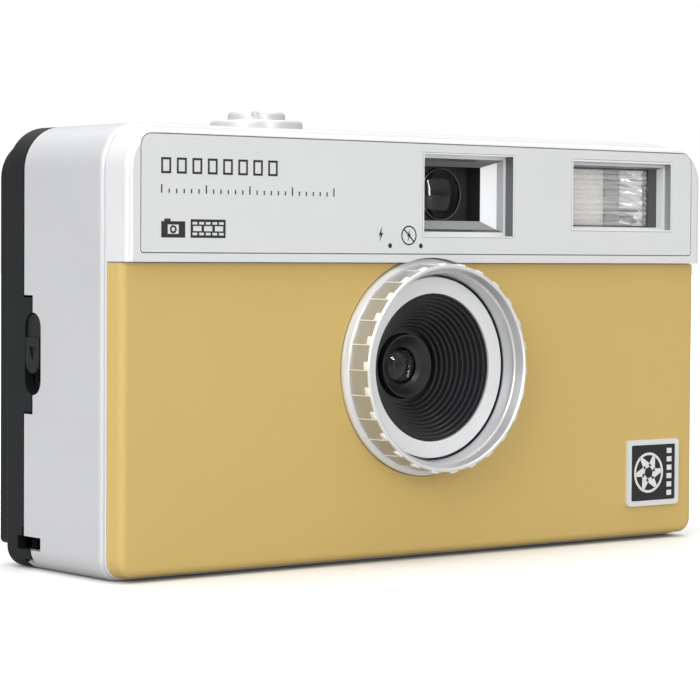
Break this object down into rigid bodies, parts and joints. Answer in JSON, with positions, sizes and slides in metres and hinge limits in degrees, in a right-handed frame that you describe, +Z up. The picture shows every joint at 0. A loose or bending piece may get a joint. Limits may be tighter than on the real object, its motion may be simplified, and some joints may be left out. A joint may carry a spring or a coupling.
{
  "type": "half frame camera",
  "caption": "Compact half frame film camera with ribbed lens recess, twist flash ring, viewfinder, built-in flash, thumb-wheel advance, folding rewind crank and hinged back.",
  "frame": {"origin": "under the middle of the camera's box, on the plane it stands on", "axes": "+Z up, the lens looks along -Y, +X to the right as the front is looked at"},
  "size_m": [0.1101, 0.039, 0.0646],
  "materials": {
    "silver_shell": "satin pearl-silver finish on moulded plastic",
    "face_white": "fine matt silver-white plastic",
    "panel_sand": "satin sand-yellow plastic",
    "chromed": "bright silver plating on moulded plastic",
    "black_plastic": "fine black moulded plastic",
    "black_gloss": "gloss black plastic",
    "clear_glass": "clear optical glass or acrylic",
    "mirror_metal": "bright aluminised reflector",
    "spring_steel": "plain steel",
    "brass_contact": "nickel-brass contact strip",
    "board_green": "green circuit board",
    "cell_wrap": "plain printed steel jacket",
    "lamp_red": "red lamp lens",
    "seal_foam": "black foam",
    "can_blue": "dark sleeve"
  },
  "bodies": {
    "camera_body": {"body_shell": "silver_shell", "front_cover": "silver_shell", "face_plate": "face_white", "front_panel": "panel_sand", "badge_frame": "face_white", "badge_field": "black_gloss", "shutter_collar": "silver_shell", "strap_bar": "black_plastic", "counter_window": "clear_glass", "lens_bezel": "chromed", "lens_cone": "black_plastic", "lens_nose": "black_plastic", "front_lens": "clear_glass", "aperture_plate": "spring_steel", "shutter_base": "black_plastic", "blade_spring": "spring_steel", "rear_lens": "clear_glass", "contact_springs": "brass_contact", "finder_bezel": "silver_shell", "finder_tube": "black_plastic", "finder_front_lens": "clear_glass", "finder_rear_lens": "clear_glass", "flash_bezel": "silver_shell", "flash_housing": "black_plastic", "flash_window": "clear_glass", "flash_reflector": "mirror_metal", "flash_tube": "clear_glass", "flash_board": "board_green", "flash_capacitor": "can_blue", "ready_lamp": "lamp_red", "chassis": "black_plastic", "chassis_screws": "spring_steel", "light_seals": "seal_foam", "release_spring": "spring_steel", "battery": "cell_wrap", "hinge_pin": "spring_steel"},
    "flash_switch": {"flash_ring": "chromed"},
    "shutter_release": {"shutter_button": "chromed", "release_slider": "black_plastic"},
    "blade": {"shutter_blade": "spring_steel"},
    "advance": {"advance_wheel": "black_plastic", "takeup_spool": "black_plastic"},
    "sprocket": {"film_sprocket": "black_plastic"},
    "counter": {"counter_dial": "face_white"},
    "rewind_lift": {"retaining_clip": "spring_steel"},
    "rewind_spindle": {"rewind_shaft": "black_plastic", "rewind_knob": "silver_shell"},
    "rewind_crank": {"crank_arm": "silver_shell"},
    "crank_handle": {"crank_grip": "silver_shell"},
    "rewind_release": {"rewind_button": "black_plastic"},
    "battery_hatch": {"battery_door": "silver_shell", "door_contact": "brass_contact"},
    "door": {"back_door": "black_plastic", "back_plate": "black_plastic", "eyepiece_frame": "black_plastic", "eyepiece_window": "clear_glass", "latch_housing": "black_plastic", "pressure_spring": "spring_steel"},
    "door_latch": {"latch_slider": "black_plastic"},
    "film_pressure": {"pressure_plate": "black_plastic"}
  },
  "joints": [
    {"name": "flash_ring_turn", "type": "hinge", "parent": "camera_body", "child": "flash_switch", "pos_m": [-0.0011, -0.0155, 0.028], "axis": [0, -1, 0], "range_deg": [0, 18]},
    {"name": "shutter_press", "type": "slide", "parent": "camera_body", "child": "shutter_release", "axis": [0, 0, -1], "range_m": [0, 0.0011], "stiffness_N_per_m": 600, "springref_m": -0.0012, "deforming": ["release_spring"]},
    {"name": "blade_swing", "type": "hinge", "parent": "camera_body", "child": "blade", "pos_m": [-0.0086, -0.0055, 0.0335], "axis": [0, 1, 0], "range_deg": [0, 35], "stiffness_Nm_per_rad": 0.0004, "springref_deg": -28.65},
    {"name": "advance_turn", "type": "hinge", "parent": "camera_body", "child": "advance", "pos_m": [-0.037, 0.00255, 0.05], "axis": [0, 0, 1], "continuous": true},
    {"name": "sprocket_turn", "type": "hinge", "parent": "camera_body", "child": "sprocket", "pos_m": [-0.0215, 0.0041, 0.03], "axis": [0, 0, 1], "continuous": true},
    {"name": "counter_turn", "type": "hinge", "parent": "camera_body", "child": "counter", "pos_m": [-0.0095, 0.0021, 0.059], "axis": [0, 0, -1], "continuous": true},
    {"name": "rewind_pull", "type": "slide", "parent": "camera_body", "child": "rewind_lift", "axis": [0, 0, 1], "range_m": [0, 0.0045]},
    {"name": "rewind_turn", "type": "hinge", "parent": "rewind_lift", "child": "rewind_spindle", "pos_m": [0.0392, 0.0004, 0.055], "axis": [0, 0, 1], "continuous": true},
    {"name": "crank_fold", "type": "hinge", "parent": "rewind_spindle", "child": "rewind_crank", "pos_m": [0.0348, 0.0004, 0.0611], "axis": [0, -1, 0], "range_deg": [0, 95]},
    {"name": "grip_spin", "type": "hinge", "parent": "rewind_crank", "child": "crank_handle", "pos_m": [0.0436, 0.0004, 0.06], "axis": [0, 0, 1], "continuous": true},
    {"name": "rewind_release_press", "type": "slide", "parent": "camera_body", "child": "rewind_release", "axis": [0, 0, 1], "range_m": [0, 0.0013], "stiffness_N_per_m": 300, "springref_m": -0.0008},
    {"name": "battery_hatch_open", "type": "hinge", "parent": "camera_body", "child": "battery_hatch", "pos_m": [0.025, 0.0015, 0.00075], "axis": [0, -1, 0], "range_deg": [0, 95]},
    {"name": "back_door_open", "type": "hinge", "parent": "camera_body", "child": "door", "pos_m": [0.0535, 0.0092, 0.03], "axis": [0, 0, -1], "range_deg": [0, 95]},
    {"name": "latch_slide", "type": "slide", "parent": "door", "child": "door_latch", "axis": [0, 0, -1], "range_m": [0, 0.0026], "stiffness_N_per_m": 250, "springref_m": -0.001},
    {"name": "pressure_plate_give", "type": "slide", "parent": "door", "child": "film_pressure", "axis": [0, 1, 0], "range_m": [0, 0.00015], "stiffness_N_per_m": 900, "springref_m": -0.0003}
  ],
  "couplings": [
    {"joint": "sprocket_turn", "follows": "advance_turn", "ratio": 0.76},
    {"joint": "counter_turn", "follows": "advance_turn", "ratio": 0.02}
  ]
}
